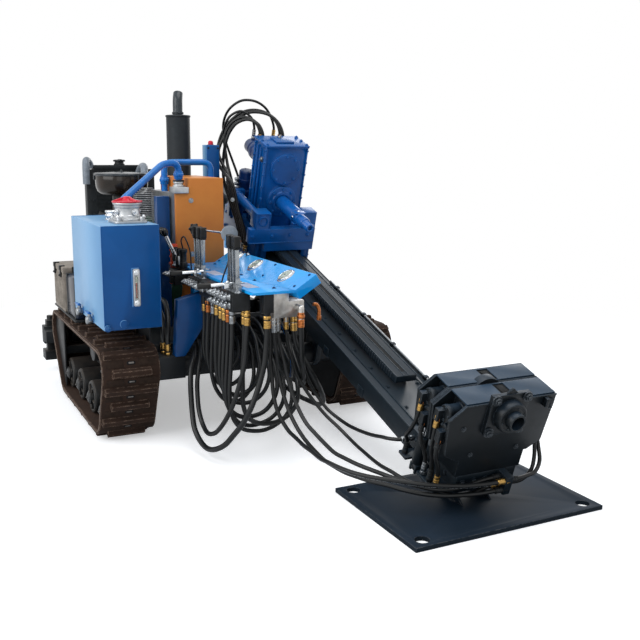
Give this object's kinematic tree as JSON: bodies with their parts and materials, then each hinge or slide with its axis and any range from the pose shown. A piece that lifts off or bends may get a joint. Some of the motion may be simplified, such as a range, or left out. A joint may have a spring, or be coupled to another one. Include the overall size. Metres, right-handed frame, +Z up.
{
  "type": "crawler horizontal directional drill",
  "caption": "Tracked horizontal directional drill: tilting mast with rack-fed rotary carriage, breakout and clamp vises, anchor plate, engine, hydraulic tank and valve console.",
  "frame": {"origin": "on the ground, below the middle of the machine's box", "axes": "+X forwards along the machine to the anchor plate, +Y to its left, +Z up"},
  "size_m": [3.597, 1.784, 1.886],
  "materials": {
    "blue_enamel": "gloss blue enamel",
    "blue_deep": "deeper blue enamel",
    "frame_black": "black chassis paint",
    "mast_navy": "near-black navy paint",
    "track_rubber": "dusty brown-black rubber",
    "roller_black": "black paint, rubbed",
    "shroud_orange": "orange sheet-steel paint",
    "cast_aluminium": "cast and machined aluminium",
    "engine_green": "dark green engine paint",
    "stack_black": "heat-proof black",
    "grey_plastic": "dusty grey",
    "bright_steel": "bright chrome",
    "valve_black": "black valve castings",
    "hose_rubber": "black hose rubber"
  },
  "bodies": {
    "chassis": {"chassis_frame": "frame_black", "lift_beam": "frame_black", "pivot_tube": "frame_black", "rear_bar": "frame_black", "right_track_frame": "roller_black", "left_track_frame": "roller_black", "right_track_wheels": "roller_black", "left_track_wheels": "roller_black", "right_track": "track_rubber", "left_track": "track_rubber", "hydraulic_tank": "blue_enamel", "return_filter": "cast_aluminium", "tank_breather": "bright_steel", "engine_block": "engine_green", "air_cleaner": "stack_black", "exhaust_stack": "stack_black", "radiator": "stack_black", "cooler_core": "cast_aluminium", "cooler_shroud": "shroud_orange", "cooler_post": "blue_enamel", "return_pipes": "blue_enamel", "battery_box": "grey_plastic", "fuel_tank": "blue_deep", "electric_box": "blue_enamel", "console": "blue_enamel", "console_column": "blue_enamel", "front_valve_bank": "valve_black", "rear_valve_bank": "valve_black", "front_levers": "bright_steel", "rear_levers": "bright_steel", "manifold": "cast_aluminium", "console_hoses_rear": "hose_rubber", "console_hoses_front": "hose_rubber", "console_hoses_low": "hose_rubber", "manifold_hoses": "hose_rubber", "pump_hoses": "hose_rubber", "mast_hoses_lower": "hose_rubber", "mast_hoses_upper": "hose_rubber"},
    "mast": {"mast_beam": "mast_navy", "rack": "mast_navy", "clamp_vise": "mast_navy", "clamp_hoses_left": "hose_rubber", "clamp_hoses_right": "hose_rubber", "breakout_hoses_left": "hose_rubber", "breakout_hoses_right": "hose_rubber"},
    "plate": {"anchor_plate": "mast_navy"},
    "carriage": {"carriage_base": "blue_deep", "gearbox": "blue_enamel", "rotary_motors": "blue_deep", "feed_motors": "blue_deep", "drive_hoses": "hose_rubber"},
    "spindle": {"spindle": "blue_enamel"},
    "breakout_vise": {"breakout_vise": "mast_navy"},
    "vise_ram_barrel": {"breakout_barrel": "roller_black"},
    "vise_ram_rod": {"breakout_rod": "bright_steel"},
    "lift_ram_barrel": {"tilt_barrel": "roller_black"},
    "lift_ram_rod": {"tilt_rod": "bright_steel"},
    "fan": {"fan": "stack_black"},
    "right_stabiliser": {"right_stabiliser": "frame_black"},
    "left_stabiliser": {"left_stabiliser": "frame_black"}
  },
  "joints": [
    {"name": "mast_tilt", "type": "hinge", "parent": "chassis", "child": "mast", "pos_m": [0.0415, 0.409, 0.388], "axis": [0, 1, 0], "range_deg": [-15, 0], "deforming": ["mast_hoses_lower", "mast_hoses_upper"]},
    {"name": "plate_pitch", "type": "hinge", "parent": "mast", "child": "plate", "pos_m": [1.4415, 0.409, 0.092], "axis": [0, 1, 0], "range_deg": [-8, 18]},
    {"name": "carriage_feed", "type": "slide", "parent": "mast", "child": "carriage", "axis": [0.9511, 0, -0.309], "range_m": [-0.6, 1.6]},
    {"name": "spindle_spin", "type": "hinge", "parent": "carriage", "child": "spindle", "pos_m": [-0.47639, 0.409, 1.1881], "axis": [0.9511, 0, -0.309], "continuous": true},
    {"name": "vise_swing", "type": "hinge", "parent": "mast", "child": "breakout_vise", "pos_m": [1.5018, 0.409, 0.54534], "axis": [0.9511, 0, -0.309], "range_deg": [-15, 0], "deforming": ["breakout_hoses_left", "breakout_hoses_right"]},
    {"name": "vise_ram_swing", "type": "hinge", "parent": "mast", "child": "vise_ram_barrel", "pos_m": [1.37344, 0.194, 0.16647], "axis": [0.9511, 0, -0.309], "range_deg": [-0.1, 7.5]},
    {"name": "vise_ram_slide", "type": "slide", "parent": "vise_ram_barrel", "child": "vise_ram_rod", "axis": [0.309, 0, 0.9511], "range_m": [-0.001, 0.063]},
    {"name": "lift_ram_swing", "type": "hinge", "parent": "chassis", "child": "lift_ram_barrel", "pos_m": [-0.5085, 0.409, 0.41], "axis": [0, 1, 0], "range_deg": [-26, 0.1]},
    {"name": "lift_ram_slide", "type": "slide", "parent": "lift_ram_barrel", "child": "lift_ram_rod", "axis": [-0.7675, 0, 0.6411], "range_m": [-0.066, 0.001]},
    {"name": "fan_spin", "type": "hinge", "parent": "chassis", "child": "fan", "pos_m": [-1.4085, -0.367, 1], "axis": [1, 0, 0], "continuous": true},
    {"name": "right_stabiliser_slide", "type": "slide", "parent": "chassis", "child": "right_stabiliser", "axis": [0, 0, 1], "range_m": [-0.08, 0.04]},
    {"name": "left_stabiliser_slide", "type": "slide", "parent": "chassis", "child": "left_stabiliser", "axis": [0, 0, 1], "range_m": [-0.08, 0.04]}
  ],
  "couplings": [
    {"joint": "vise_ram_swing", "follows": "vise_swing", "ratio": -0.4882},
    {"joint": "vise_ram_slide", "follows": "vise_swing", "m_per_rad": -0.23674},
    {"joint": "lift_ram_swing", "follows": "mast_tilt", "ratio": 1.7165},
    {"joint": "lift_ram_slide", "follows": "mast_tilt", "m_per_rad": 0.24951}
  ]
}
